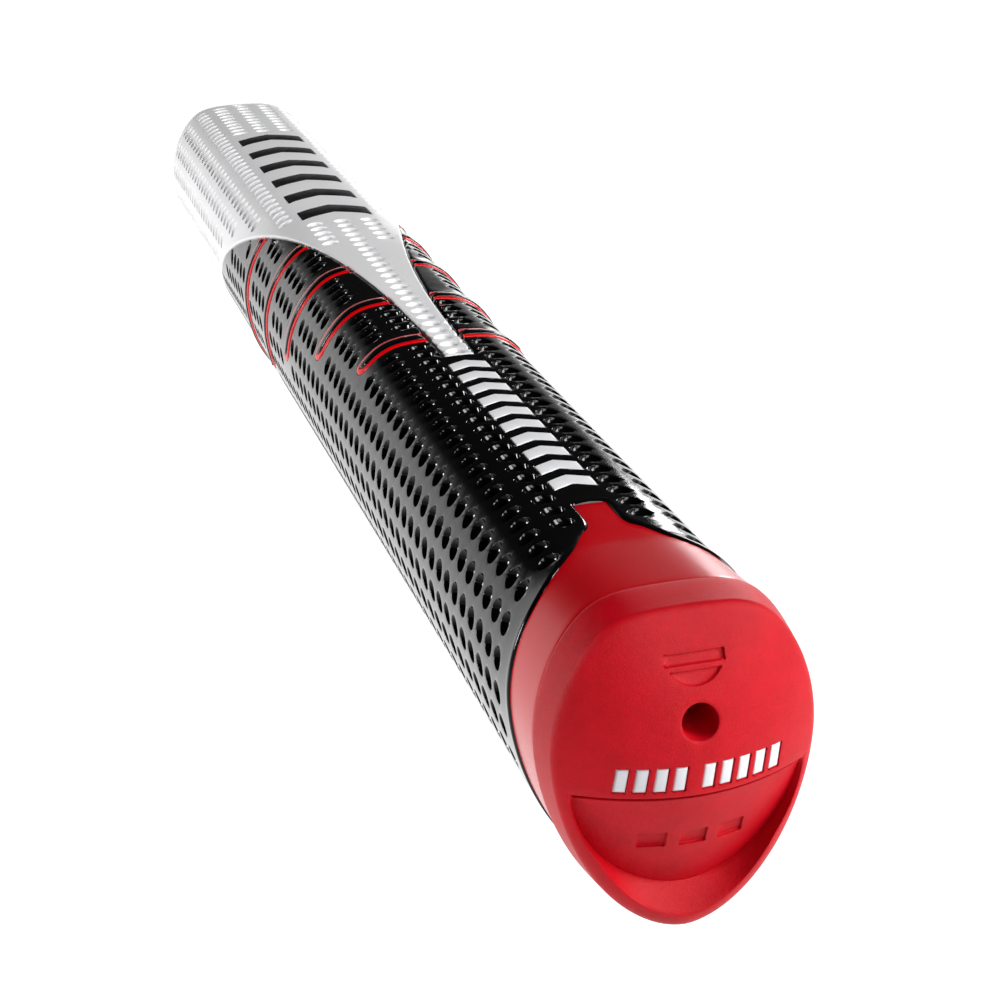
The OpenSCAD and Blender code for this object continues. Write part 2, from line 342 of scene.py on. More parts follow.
def make_piece(name, parts, material, sharp=40, level=False):
    """One closed mesh welded from its parts, in metres, with its hard edges marked."""
    mesh = bpy.data.meshes.new(name)
    verts, faces = [], []
    for part_verts, part_faces in parts:
        base = len(verts)
        verts += [Vector(v) * MM for v in part_verts]
        faces += [[base + i for i in f] for f in part_faces]
    mesh.from_pydata(verts, [], faces)
    bm = bmesh.new()
    bm.from_mesh(mesh)
    bmesh.ops.remove_doubles(bm, verts=bm.verts, dist=1e-6)
    bmesh.ops.dissolve_degenerate(bm, edges=bm.edges, dist=1e-7)
    loose = [v for v in bm.verts if not v.link_faces]
    bmesh.ops.delete(bm, geom=loose, context="VERTS")
    bmesh.ops.recalc_face_normals(bm, faces=bm.faces)
    limit = math.radians(sharp)
    for edge in bm.edges:
        edge.smooth = not edge.is_manifold or edge.calc_face_angle(0) < limit
    for face in bm.faces:
        face.smooth = True
    bm.to_mesh(mesh)
    bm.free()
    if level:
        level_normals(mesh)
    mesh.materials.append(material)
    piece = bpy.data.objects.new(name, mesh)
    bpy.context.scene.collection.objects.link(piece)
    return piece


def hand_over(piece, node):
    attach(piece, "root")
    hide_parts(node)


# ---------------------------------------------------------------- materials
def node_material(name):
    material = bpy.data.materials.new(name)
    material.use_nodes = True
    tree = material.node_tree
    shader = tree.nodes["Principled BSDF"]
    return material, tree, shader


def noise(tree, scale, detail=2.0, roughness=0.5):
    coordinates = tree.nodes.get("Texture Coordinate") or tree.nodes.new("ShaderNodeTexCoord")
    texture = tree.nodes.new("ShaderNodeTexNoise")
    texture.inputs["Scale"].default_value = scale
    texture.inputs["Detail"].default_value = detail
    texture.inputs["Roughness"].default_value = roughness
    tree.links.new(coordinates.outputs["Object"], texture.inputs["Vector"])
    return texture.outputs["Fac"]


def ramp(tree, value, stops):
    node = tree.nodes.new("ShaderNodeValToRGB")
    while len(node.color_ramp.elements) < len(stops):
        node.color_ramp.elements.new(0.5)
    for element, (place, colour) in zip(node.color_ramp.elements, stops):
        element.position = place
        element.color = (*colour, 1)
    tree.links.new(value, node.inputs["Fac"])
    return node.outputs["Color"]


def spread(tree, value, low, high):
    node = tree.nodes.new("ShaderNodeMapRange")
    node.inputs["From Min"].default_value = 0.3
    node.inputs["From Max"].default_value = 0.7
    node.inputs["To Min"].default_value = low
    node.inputs["To Max"].default_value = high
    tree.links.new(value, node.inputs["Value"])
    return node.outputs["Result"]


def bump(tree, height, distance, strength=1.0, under=None):
    node = tree.nodes.new("ShaderNodeBump")
    node.inputs["Distance"].default_value = distance * MM
    node.inputs["Strength"].default_value = strength
    tree.links.new(height, node.inputs["Height"])
    if under is not None:
        tree.links.new(under, node.inputs["Normal"])
    return node.outputs["Normal"]


# Clouds of colour per metre.
CLOUD_SCALE = 60


def rubber(name, dark, light, rough, grain, grain_depth, specular=0.5, speckle=0.5):
    """Moulded rubber: clouded colour, uneven sheen and a fine grain of the given size in millimetres.

    A higher speckle breaks the clouds up into finer spots.
    """
    material, tree, shader = node_material(name)
    clouds = noise(tree, CLOUD_SCALE, 9.0, speckle)
    tree.links.new(ramp(tree, clouds, [(0.3, dark), (0.7, light)]), shader.inputs["Base Color"])
    fine = noise(tree, 1 / (grain * MM), 3.0, 0.6)
    tree.links.new(spread(tree, fine, rough[0], rough[1]), shader.inputs["Roughness"])
    wide = bump(tree, noise(tree, 1 / (8 * grain * MM), 2.0), grain_depth, 0.25)
    tree.links.new(bump(tree, fine, grain_depth, 1.0, wide), shader.inputs["Normal"])
    shader.inputs["Specular IOR Level"].default_value = specular
    return material


CAP_RED = rubber("cap_red", (0.38, 0.0, 0.004), (0.6, 0.002, 0.012), (0.36, 0.5), 0.1, 0.05, 0.18, 0.85)
COLLAR_RED = rubber("collar_red", (0.5, 0.0, 0.004), (0.58, 0.0, 0.006), (0.2, 0.27), 0.25, 0.002, 0.3)
SKIN_BLACK = rubber(
    "skin_black", (0.0012, 0.0012, 0.0013), (0.0025, 0.0025, 0.0028), (0.08, 0.14), 0.22, 0.003, 0.35)
SKIN_WHITE = rubber("skin_white", (0.86, 0.86, 0.87), (0.92, 0.92, 0.93), (0.35, 0.5), 0.25, 0.004)
ACCENT_RED = rubber("accent_red", (0.72, 0.0, 0.002), (0.8, 0.0, 0.004), (0.25, 0.35), 0.2, 0.002, 0.25)
MARK_WHITE = rubber("mark_white", (0.82, 0.82, 0.84), (0.9, 0.9, 0.92), (0.45, 0.6), 0.18, 0.006, 0.3)
MARK_BLACK = rubber(
    "mark_black", (0.003, 0.003, 0.0035), (0.007, 0.007, 0.0075), (0.4, 0.55), 0.2, 0.006, 0.15)
INLAY_WHITE = rubber("inlay_white", (0.6, 0.6, 0.64), (0.74, 0.74, 0.77), (0.3, 0.45), 0.3, 0.012)
CORE_FOAM = rubber("core_foam", (0.02, 0.02, 0.022), (0.04, 0.04, 0.043), (0.7, 0.9), 0.5, 0.05)


# ---------------------------------------------------------------- skins
# Height of a skin along its edge: a rounded bead that stands proud, then the level surface.
BEAD = [(0.0, 0.6), (0.05, 0.3), (0.14, 0.08), (0.28, -0.02), (0.5, -0.04), (0.75, 0.0)]


def bead_depth(distance):
    return float(np.interp(distance, [b[0] for b in BEAD], [b[1] for b in BEAD]))


def edge_arcs(half, count, power):
    """Arc lengths from one seam to the other, close together beside a tongue or tail."""
    side = [half + (HALF_GIRTH - half) * (k / count) ** power for k in range(count + 1)]
    middle = [half * k / 3 for k in (-2, -1, 0, 1, 2)]
    return [-s for s in reversed(side)], middle, side


def curve(a, b, c, count):
    """Points on a curve from a towards b to c, c left out."""
    points = []
    for k in range(count):
        t = k / count
        points.append(tuple(Vector(a) * (1 - t) ** 2 + Vector(b) * 2 * t * (1 - t) + Vector(c) * t * t))
    return points


# The small rounded corners at the tongue's end, across it and along it.
TONGUE_CORNER_S = 0.3
TONGUE_CORNER_Y = 0.35
# Where the rounded corner between the tongue and the collar's flare starts and ends, and how full it is.
FILLET_TOP = 18.8
FILLET_END = 3.0
FILLET_RISE = 0.7


def collar_line():
    right = edge_arcs(TONGUE_HALF_WIDTH, 70, 1.5)[-1]
    w = TONGUE_HALF_WIDTH
    corner_end = (w, TONGUE_END - TONGUE_CORNER_Y)
    corner = curve((w - TONGUE_CORNER_S, TONGUE_END), (w, TONGUE_END), corner_end, 3)
    side = spaced(corner_end, (w, FILLET_TOP), 0.6)
    foot = collar_edge(FILLET_END)
    fillet = curve((w, FILLET_TOP), (w, foot + FILLET_RISE), (FILLET_END, foot), 8)
    flare = [(s, collar_edge(s)) for s in right if s > FILLET_END - 0.001]
    half = corner + side + fillet + flare
    return [(-s, y) for s, y in reversed(half)] + [(0.0, TONGUE_END)] + half


def arch_line():
    left, middle, right = edge_arcs(TAIL_HALF_WIDTH, 120, 2.2)
    return [(s, arch_edge(s)) for s in left + middle + right]


COLLAR_LINE = collar_line()
ARCH_LINE = arch_line()


# How far a band's path starts under the tail, and the steps round its outer end.
BAND_TUCK = 1.5
BAND_TURN_STEPS = 12


def band_path(i, side, inset, step=0.5):
    """The outline of a band, from the tail round its outer end and back, moved in by inset."""
    end = band_end(i)
    round_start = end - BAND_HALF_WIDTH
    start = tail_reach(band_middle(i, tail_reach(BAND_START + BAND_PITCH * (i - 1))) - BAND_HALF_WIDTH)
    reach = round_start - start + BAND_TUCK
    n = math.ceil(reach / step)
    arcs = [start - BAND_TUCK + reach * k / n for k in range(n)]
    near = [(s, band_middle(i, s) - BAND_HALF_WIDTH) for s in arcs]
    far = [(s, band_middle(i, s) + BAND_HALF_WIDTH) for s in reversed(arcs)]
    turn = []
    for k in range(BAND_TURN_STEPS + 1):
        a = math.pi * k / BAND_TURN_STEPS
        s = round_start + BAND_HALF_WIDTH * math.sin(a)
        turn.append((s, band_middle(i, s) - BAND_HALF_WIDTH * math.cos(a)))
    path = offset_line(near + turn + far, inset, False)
    return path if side > 0 else [(-s, y) for s, y in reversed(path)]


def in_band(s, y, margin):
    """Whether a point lies in a band's groove, widened by margin."""
    for i in range(1, BAND_COUNT + 1):
        if abs(y - band_middle(i, s)) < band_half(i, max(abs(s) - margin, 0)) + margin:
            if abs(s) < band_end(i) + margin:
                return True
    return False


def dimple_places(low, high, clear, margin):
    """Middles of the dimples between two edge lines, where clear says the surface is free."""
    rows = []
    s = DIMPLE_FIRST_ROW
    while s < HALF_GIRTH - DIMPLE_HALF_S - SEAM_MARGIN:
        rows += [-s, s]
        s += DIMPLE_ROW_PITCH
    count = int((BODY_LENGTH - DIMPLE_START) / DIMPLE_PITCH)
    places = []
    for s in [0.0] + rows:
        for k in range(count + 1):
            y = DIMPLE_START + DIMPLE_PITCH * k
            if clear(s, y):
                places.append((s, y))
    for line in (low, high):
        far = distance_to(places, line)
        places = [p for p, d in zip(places, far) if d > margin or p[0] == 0 and p[1] > TAIL_END + TAIL_LEAD]
    return places


def dimple_points(places, half_s):
    points = []
    for s, y in places:
        for share, depth in DIMPLE_RINGS:
            sides = DIMPLE_SIDES if share > DIMPLE_COARSE_SHARE else DIMPLE_SIDES // 2
            for k in range(sides):
                a = 2 * math.pi * (k + 0.5) / sides
                points.append((
                    s + half_s(s) * share * math.sin(a),
                    y + DIMPLE_HALF_Y * share * math.cos(a),
                    depth))
        points.append((s, y, DIMPLE_DEPTH))
    return points


def edge_points(line, side, inside):
    """Rings of points along an edge line that carry the bead."""
    points = []
    for distance, depth in BEAD[1:]:
        ring = offset_line(line, side * distance, False)
        ring = [p for p in ring if abs(p[0]) < HALF_GIRTH - 0.05 and inside(*p)]
        near = distance_to(ring, line)
        points += [(*p, depth) for p, d in zip(ring, near) if d > 0.97 * distance]
    return points


def seam_heights(low, high):
    """Places along the seam at the back, close together where the two beads are."""
    ends = [b[0] for b in BEAD[1:]]
    n = math.ceil((high - low - 2 * ends[-1]) / 1.6)
    middle = [low + ends[-1] + (high - low - 2 * ends[-1]) * k / n for k in range(1, n)]
    return [low + d for d in ends] + middle + [high - d for d in reversed(ends)]


def filler(low_line, high_line, low, high, places, holes, clear):
    """Points that keep the triangles small between the dimples and where there are none."""
    points = []
    half_s, half_y = DIMPLE_ROW_PITCH / 2, DIMPLE_PITCH / 2
    n = int((HALF_GIRTH - DIMPLE_FIRST_ROW) / half_s)
    arcs = [DIMPLE_FIRST_ROW + half_s * k for k in range(-1, n + 1)]
    arcs = [0.0, 0.9] + arcs + [-s for s in arcs] + [-0.9]
    for s in arcs:
        if abs(s) > HALF_GIRTH - 0.8:
            continue
        for k in range(-2, int((BODY_LENGTH - DIMPLE_START) / half_y) + 1):
            y = DIMPLE_START + half_y * k
            if low(s) < y < high(s) and clear(s, y):
                points.append((s, y))
    for line in (low_line, high_line):
        far = distance_to(points, line)
        points = [p for p, d in zip(points, far) if d > 1.1]
    centres = np.asarray(places)
    kept = []
    for p in points:
        gap = (centres - p) / (LADDER_HALF_S + 0.3, DIMPLE_HALF_Y + 0.3)
        if (gap * gap).sum(1).min() > 1 and not any(in_loop(p, h) for h in holes):
            kept.append((*p, 0.0))
    return kept


def grown(loop, distance):
    """A loop that runs anticlockwise, made larger by distance."""
    return offset_line(loop, -distance, True)


def height_on(line, s):
    """Distance along the bore of an edge line at arc length s."""
    return np.interp(s, [p[0] for p in line], [p[1] for p in line])


# A place this far from an edge has no bead.
CLEAR_OF_BEAD = 9.0
# The softened rim of a hole for an inlaid mark.
RIM_DEPTH = 0.07
RIM_WIDTH = 0.1
# The plain grid of the inside of a skin.
INNER_COLUMNS = 19
INNER_PITCH = 6.0
INNER_START = 4
INNER_MARGIN = 1.5


def skin_parts(low_line, high_line, holes, points, low_bead, high_bead):
    """The outer sheet, the inner sheet and the walls of a wrapped skin."""
    seam = seam_heights(low_line[0][1], high_line[0][1])
    top_seam = []
    for y in seam:
        low_gap = y - low_line[0][1] if low_bead else CLEAR_OF_BEAD
        high_gap = high_line[0][1] - y if high_bead else CLEAR_OF_BEAD
        top_seam.append((y, bead_depth(min(low_gap, high_gap))))
    low_depth = BEAD[0][1] if low_bead else 0.0
    high_depth = BEAD[0][1] if high_bead else 0.0
    outline = [(*p, low_depth) for p in low_line]
    outline += [(HALF_GIRTH, y, d) for y, d in top_seam]
    outline += [(*p, high_depth) for p in reversed(high_line)]
    outline += [(-HALF_GIRTH, y, d) for y, d in reversed(top_seam)]
    top_holes = [[(*p, RIM_DEPTH) for p in hole] for hole in holes]
    rims = [(*p, 0.0) for hole in holes for p in grown(hole, RIM_WIDTH)]
    parts = [sheet(wrap, outline, top_holes, points + rims)]
    inner = [(s, y, SKIN_THICKNESS) for s, y, _ in outline]
    inner_holes = [[(*p, SKIN_THICKNESS) for p in hole] for hole in holes]
    grid = []
    for k in range(1 - INNER_COLUMNS, INNER_COLUMNS):
        s = HALF_GIRTH * k / INNER_COLUMNS
        lowest = height_on(low_line, s) + INNER_MARGIN
        highest = height_on(high_line, s) - INNER_MARGIN
        for y in np.arange(INNER_START, BODY_LENGTH, INNER_PITCH):
            if lowest < y < highest and not any(in_loop((s, y), h) for h in holes):
                grid.append((s, float(y), SKIN_THICKNESS))
    parts.append(sheet(wrap, inner, inner_holes, grid, flip=True))
    for top, bottom in zip(top_holes, inner_holes):
        parts.append(strip([[wrap(*p) for p in top], [wrap(*p) for p in bottom]], True))
    low_rows = [[wrap(*p, d) for p in low_line] for d in (low_depth, SKIN_THICKNESS)]
    parts.append(strip(low_rows, False))
    return parts, high_depth


def dimple_half(s):
    return LADDER_HALF_S if s == 0 else DIMPLE_HALF_S


def sight_outlines(step=0.6):
    return [chevron_outline(SIGHT_START + SIGHT_PITCH * i, SIGHT_HALF, SIGHT_THICKNESS, step)
            for i in range(SIGHT_COUNT)]


def tip_outlines(step=0.9):
    return [chevron_outline(TIP_MARK_START + TIP_MARK_PITCH * i, TIP_MARK_HALF, TIP_MARK_THICKNESS, step)
            for i in range(TIP_MARK_COUNT)]


# A band from its outline inwards: the groove that holds its red line, then the side of the black rib that
# the line goes round. Each row is a distance inside the outline, and a depth that is negative on the rib.
GROOVE = [
    (-0.07, 0.0), (-0.01, 0.04), (0.03, 0.25), (0.45, 0.25), (0.86, 0.25),
    (0.89, -0.1), (0.95, -0.24), (1.1, -0.3), (1.4, -0.31)]
GROOVE_DEPTH = 0.25
# How far a dimple, the edge's bead and the filling points stay from a band.
BAND_DIMPLE_MARGIN = 1.35
BAND_BEAD_MARGIN = 0.12
BAND_FILLER_MARGIN = 0.5


def build_grip_skin():
    def between(s, y):
        return collar_edge(s) + 0.01 < y < arch_edge(s) - 0.01

    def clear(s, y):
        return abs(s) >= DIMPLE_FIRST_ROW and between(s, y) and not in_band(s, y, BAND_DIMPLE_MARGIN)

    def room(s, y):
        return not in_band(s, y, BAND_FILLER_MARGIN)

    places = dimple_places(COLLAR_LINE, ARCH_LINE, clear, EDGE_MARGIN)
    points = dimple_points(places, dimple_half)
    for line, side in ((COLLAR_LINE, 1), (ARCH_LINE, -1)):
        ring = edge_points(line, side, between)
        points += [p for p in ring if not in_band(p[0], p[1], BAND_BEAD_MARGIN)]
    for i in range(1, BAND_COUNT + 1):
        for side in (-1, 1):
            for inset, depth in GROOVE:
                path = [p for p in band_path(i, side, inset) if between(*p)]
                near = distance_to(path, ARCH_LINE)
                for p, d in zip(path, near):
                    if d > BEAD[-1][0]:
                        points.append((*p, depth))
                    elif d > 0.05:
                        points.append((*p, max(depth, bead_depth(d))))
    holes = sight_outlines()
    points += filler(COLLAR_LINE, ARCH_LINE, collar_edge, arch_edge, places,
                     [grown(h, 0.35) for h in holes], room)
    parts, high_depth = skin_parts(COLLAR_LINE, ARCH_LINE, holes, points, True, True)
    rows = [[wrap(*p, d) for p in ARCH_LINE] for d in (high_depth, SKIN_THICKNESS)]
    parts.append(strip(rows, False))
    piece = make_piece("grip_skin_black", parts, SKIN_BLACK, 55, level=True)
    hand_over(piece, "grip_skin")


# The mouth: how the tip skin rolls over its lip, as (distance from the mouth, depth).
LIP = [(1.2, 0.02), (0.65, 0.12), (0.25, 0.36), (0.06, 0.68), (0.0, 1.05)]
LIP_START = 2.0
MOUTH_CHAMFER = 0.5
# The dimples stop short of the marks: beside them, before and after them, and on the middle row.
MARK_SIDE_MARGIN = 1.2
MARK_END_MARGIN = 1.6
MARK_MIDDLE_MARGIN = 2


def build_tip_skin():
    top_y = BODY_LENGTH - LIP_START
    high_line = [(s, top_y) for s, _ in ARCH_LINE]

    def between(s, y):
        return arch_edge(s) + 0.01 < y < top_y - 0.01

    first_mark = TIP_MARK_START
    last_mark = TIP_MARK_START + TIP_MARK_PITCH * (TIP_MARK_COUNT - 1) + TIP_MARK_THICKNESS
    last_mark += CHEVRON_SLOPE * TIP_MARK_HALF

    def clear(s, y):
        if not between(s, y):
            return False
        beside = abs(s) < TIP_MARK_HALF + MARK_SIDE_MARGIN
        if beside and first_mark - MARK_END_MARGIN < y < last_mark + MARK_END_MARGIN:
            return False
        return s != 0 or y < first_mark - MARK_MIDDLE_MARGIN or y > last_mark + MARK_MIDDLE_MARGIN

    def top(s):
        return top_y

    def anywhere(s, y):
        return True

    places = dimple_places(ARCH_LINE, high_line, clear, TIP_EDGE_MARGIN)
    points = dimple_points(places, dimple_half)
    points += edge_points(ARCH_LINE, 1, between)
    holes = tip_outlines()
    points += filler(ARCH_LINE, high_line, arch_edge, top, places,
                     [grown(h, 0.4) for h in holes], anywhere)
    parts, _ = skin_parts(ARCH_LINE, high_line, holes, points, True, False)
    angles = [angle_at(s) for s, _ in high_line]
    rows = [[wrap(*p, 0.0) for p in high_line]]
    rows += [[body_point(BODY_LENGTH - back, a, depth) for a in angles] for back, depth in LIP]
    bore = [(0.0, MOUTH_CHAMFER), (0.15, 0.15), (MOUTH_CHAMFER, 0.0), (LIP_START, 0.0)]
    for back, extra in bore:
        r = BORE_RADIUS + extra
        rows.append([Vector((r * math.sin(a), BODY_LENGTH - back, r * math.cos(a))) for a in angles])
    rows.append([wrap(*p, SKIN_THICKNESS) for p in high_line])
    parts.append(strip(rows, False))
    piece = make_piece("tip_skin_white", parts, SKIN_WHITE, 55, level=True)
    hand_over(piece, "tip_skin")


# The collar's softened edge at the parting: distance from the parting, and depth.
PARTING = [(0.0, 0.45), (0.08, 0.31), (0.22, 0.22), (0.5, COLLAR_INSET)]
COLLAR_COLUMNS = 37
COLLAR_GRID_START = 1.3


def build_collar():
    """The smooth red collar, sunk a little below the skins, with a softened edge at the parting."""
    start = [(s, 0.0) for s, _ in COLLAR_LINE]
    points = []
    for y, depth in PARTING[1:]:
        points += [(s, y, depth) for s, _ in COLLAR_LINE if abs(s) < HALF_GIRTH]
    for k in range(1 - COLLAR_COLUMNS, COLLAR_COLUMNS):
        s = HALF_GIRTH * k / COLLAR_COLUMNS
        for y in np.arange(COLLAR_GRID_START, TONGUE_END, 1.0):
            if y < collar_edge(s) - 0.5:
                points.append((s, float(y), COLLAR_INSET))
    seam = PARTING[1:]
    seam += [(float(y), COLLAR_INSET) for y in np.arange(COLLAR_GRID_START, COLLAR_WIDTH - 0.4, 1.0)]
    outline = [(*p, PARTING[0][1]) for p in start]
    outline += [(HALF_GIRTH, y, d) for y, d in seam]
    outline += [(*p, COLLAR_INSET) for p in reversed(COLLAR_LINE)]
    outline += [(-HALF_GIRTH, y, d) for y, d in reversed(seam)]
    parts = [sheet(wrap, outline, [], points)]
    inner = [(s, y, SKIN_THICKNESS) for s, y, _ in outline]
    parts.append(sheet(wrap, inner, [], [(s, y, SKIN_THICKNESS) for s, y, _ in points[::3]], flip=True))
    for line, depth in ((start, PARTING[0][1]), (COLLAR_LINE, COLLAR_INSET)):
        parts.append(strip([[wrap(*p, d) for p in line] for d in (depth, SKIN_THICKNESS)], False))
    piece = make_piece("collar_red_skin", parts, COLLAR_RED, 55)
    hand_over(piece, "collar_skin")


# The section of a band's red line: distance inside the band's outline, and depth.
BAND_LINE = [
    (0.04, GROOVE_DEPTH), (0.04, 0.0), (0.09, -0.07), (0.22, -0.12), (0.6, -0.13),
    (0.78, -0.12), (0.85, -0.07), (0.85, GROOVE_DEPTH)]


def build_band(i, side, name):
    """A raised red line that lies in a band's groove."""
    columns = [band_path(i, side, inset) for inset, _ in BAND_LINE]
    rows = []
    for k in range(len(columns[0])):
        s, y = columns[0][k]
        if y < arch_edge(s) + 0.05:
            rows.append([wrap(*column[k], depth) for column, (_, depth) in zip(columns, BAND_LINE)])
    body = strip(rows, True)
    section = [list(range(len(BAND_LINE)))]
    ends = [(rows[0], section), (rows[-1], section)]
    piece = make_piece(name, [body] + ends, ACCENT_RED, 50)
    hand_over(piece, name.replace("band_line", "accent_band"))


# The softened edge of a mark: growth of its outline, and depth. It has a little play all round and below.
MARK_EDGE = [(0.0, 0.12), (-0.06, 0.0), (-0.16, -0.03)]
MARK_PLAY = 0.03
MARK_UNDER_PLAY = 0.05


def build_mark(name, node, outline, material):
    """A chevron inlaid in a skin, level with it, with softened edges."""
    loop = [(*p, MARK_EDGE[0][1]) for p in grown(outline, -MARK_PLAY)]
    points = []
    for distance, depth in MARK_EDGE[1:]:
        points += [(*p, depth) for p in grown(outline, distance - MARK_PLAY)]
    lowest = [(s, y, SKIN_THICKNESS - MARK_UNDER_PLAY) for s, y, _ in loop]
    parts = [sheet(wrap, loop, [], points), sheet(wrap, lowest, [], [], flip=True)]
    parts.append(strip([[wrap(*p) for p in loop], [wrap(*p) for p in lowest]], True))
    hand_over(make_piece(name, parts, material, 55), node)


# ---------------------------------------------------------------- butt cap
FACE_SIDES = 180
PANEL_LINE = -6.5
PANEL_HALF_WIDTH = 10.4
PANEL_DEPTH = 11.2
PANEL_STEP = 0.42
PANEL_FALL = 2.3
PANEL_SLIMNESS = 1.12
RIDGE_SHARE = 0.955
RIDGE_GAP = 0.3

FACE_ANGLES = [2 * math.pi * k / FACE_SIDES for k in range(FACE_SIDES)]
FACE_EDGE = [body_point(0, a if a <= math.pi else a - 2 * math.pi, ROLL_INSET) for a in FACE_ANGLES]
EDGE_TURNS = [math.atan2(p.x, p.z - DOME_CENTRE) % (2 * math.pi) for p in FACE_EDGE]
EDGE_REACH = [math.hypot(p.x, p.z - DOME_CENTRE) for p in FACE_EDGE]


def edge_reach(x, z):
    """Distance from the dome's middle to the edge of the face, in the direction of a point."""
    turn = math.atan2(x, z - DOME_CENTRE) % (2 * math.pi)
    return float(np.interp(turn, EDGE_TURNS + [2 * math.pi], EDGE_REACH + EDGE_REACH[:1]))


def face_share(x, z):
    return math.hypot(x, z - DOME_CENTRE) / edge_reach(x, z)


def dome(x, z):
    return -CAP_WALL - CAP_ROLL - DOME_RISE * (1 - min(face_share(x, z), 1) ** 2)


def face_point(x, z, depth):
    return Vector((x, dome(x, z) + depth, z))


def panel_recess(x, z):
    """Depth of the panel's floor below the dome: a small step at its line, deeper to the bottom."""
    return PANEL_STEP + PANEL_FALL * max(PANEL_LINE - z, 0) / PANEL_DEPTH


def panel_point(turn, scale=1.0):
    drop = PANEL_DEPTH * math.sin(turn) ** PANEL_SLIMNESS
    return scale * PANEL_HALF_WIDTH * math.cos(turn), PANEL_LINE - scale * drop


def ridge_point(x, z):
    """The point on the ridge round the hollow that lies beyond a point on the panel's edge."""
    reach = math.hypot(x, z - DOME_CENTRE)
    grow = max(RIDGE_SHARE * edge_reach(x, z), reach + RIDGE_GAP) / reach
    return x * grow, DOME_CENTRE + (z - DOME_CENTRE) * grow


def in_panel(x, z, margin):
    down = PANEL_LINE - z
    half = PANEL_HALF_WIDTH + margin
    if down <= 0 or abs(x) >= half:
        return False
    return down < (PANEL_DEPTH + margin) * (1 - (x / half) ** 2) ** (PANEL_SLIMNESS / 2)


# The slanted bars, in two groups with a gap between them.
BAR_COUNT = 9
BARS_BEFORE_GAP = 4
BAR_WIDTH = 1.15
BAR_HEIGHT = 2.3
BAR_PITCH = 1.62
BAR_SLANT = 0.35
BAR_LINE = -6.0
BAR_GAP = 0.45

# The symbol of the grip's own section, a flat over a round back.
SYMBOL_RADIUS = 2.7
SYMBOL_LINE = 0.95
SYMBOL_TOP = 5.7
SYMBOL_GAP = 0.45
SYMBOL_STEPS = 12

PIP_PITCH = 3.6
PIP_WIDTH = 2.4
PIP_HEIGHT = 1.7
PIP_LINE = -12.6


def bar_outline(k):
    x = BAR_PITCH * (k - BARS_BEFORE_GAP) + (-BAR_GAP if k < BARS_BEFORE_GAP else BAR_GAP)
    left, right = x - BAR_WIDTH / 2, x + BAR_WIDTH / 2
    top = BAR_LINE + BAR_HEIGHT
    return [(left, BAR_LINE), (right, BAR_LINE), (right + BAR_SLANT, top), (left + BAR_SLANT, top)]


def symbol_outlines():
    under = SYMBOL_TOP - SYMBOL_LINE
    flat = [(-SYMBOL_RADIUS, under), (SYMBOL_RADIUS, under),
            (SYMBOL_RADIUS, SYMBOL_TOP), (-SYMBOL_RADIUS, SYMBOL_TOP)]
    turn = math.acos((SYMBOL_LINE + SYMBOL_GAP) / SYMBOL_RADIUS)
    turns = [turn * k / SYMBOL_STEPS for k in range(-SYMBOL_STEPS, SYMBOL_STEPS + 1)]
    back = [(SYMBOL_RADIUS * math.sin(a), SYMBOL_TOP - SYMBOL_RADIUS * math.cos(a)) for a in turns]
    return [flat, back]


def pip_outlines():
    outlines = []
    for k in (-1, 0, 1):
        left, right = PIP_PITCH * k - PIP_WIDTH / 2, PIP_PITCH * k + PIP_WIDTH / 2
        top = PIP_LINE + PIP_HEIGHT
        outlines.append([(left, PIP_LINE), (right, PIP_LINE), (right, top), (left, top)])
    return outlines


# The wall of a sunk shape: distance inside its outline, and share of its depth.
POCKET = [(-0.1, 0.0), (-0.02, 0.05), (0.05, 0.8), (0.13, 1.0)]
POCKET_STEP = 0.3
BAR_POCKET_DEPTH = 0.4
SYMBOL_POCKET_DEPTH = 0.32


def pocket_points(outline, depth, floor):
    """Rings that take the surface down into a pocket of the given depth."""
    loop = resample(outline, POCKET_STEP)
    points = []
    for inset, share in POCKET:
        points += [(x, z, floor(x, z) + depth * share) for x, z in grown(loop, -inset)]
    return points


def roll_point(a, reach, t):
    """The rolled edge, which leaves the dome at the dome's own slope and ends level with the wall."""
    width = ROLL_INSET - CAP_DRAFT
    corner = -CAP_WALL - CAP_ROLL + width * 2 * DOME_RISE / reach
    y = -(CAP_WALL + CAP_ROLL) * (1 - t) ** 2 + corner * 2 * t * (1 - t) - CAP_WALL * t * t
    p = body_point(0, a, CAP_DRAFT + width * (1 - t) ** 2)
    return Vector((p.x, y, p.z))


VENT_SIDES = 40
# The vent's softened rim: growth of its radius, and depth. The edge of the hole itself lies deeper.
VENT_RIM = [(0.06, 0.06), (0.16, 0.015), (0.35, 0.0), (0.8, 0.0)]
VENT_EDGE_DEPTH = 0.2


def vent_loop(radius):
    turns = [2 * math.pi * k / VENT_SIDES for k in range(VENT_SIDES)]
    return [(radius * math.sin(a), radius * math.cos(a)) for a in turns]


def on_dome(x, z):
    return 0.0


def face_pockets():
    """Each sunk shape as its outline, its depth and the surface that it is sunk from."""
    pockets = [(bar_outline(k), BAR_POCKET_DEPTH, on_dome) for k in range(BAR_COUNT)]
    pockets += [(loop, SYMBOL_POCKET_DEPTH, on_dome) for loop in symbol_outlines()]
    pockets += [(loop, SYMBOL_POCKET_DEPTH, panel_recess) for loop in pip_outlines()]
    return pockets


# The panel's straight edge: height over its line, and depth. Below it lies a fine groove, whose
# depths count from the panel's floor.
PANEL_LIP = [(0.07, 0.0), (0.0, 0.04)]
PANEL_GROOVE = [(-0.04, 0.3), (-0.38, 0.34), (-0.43, 0.03), (-0.5, 0.0)]
PANEL_LINE_STEPS = 60


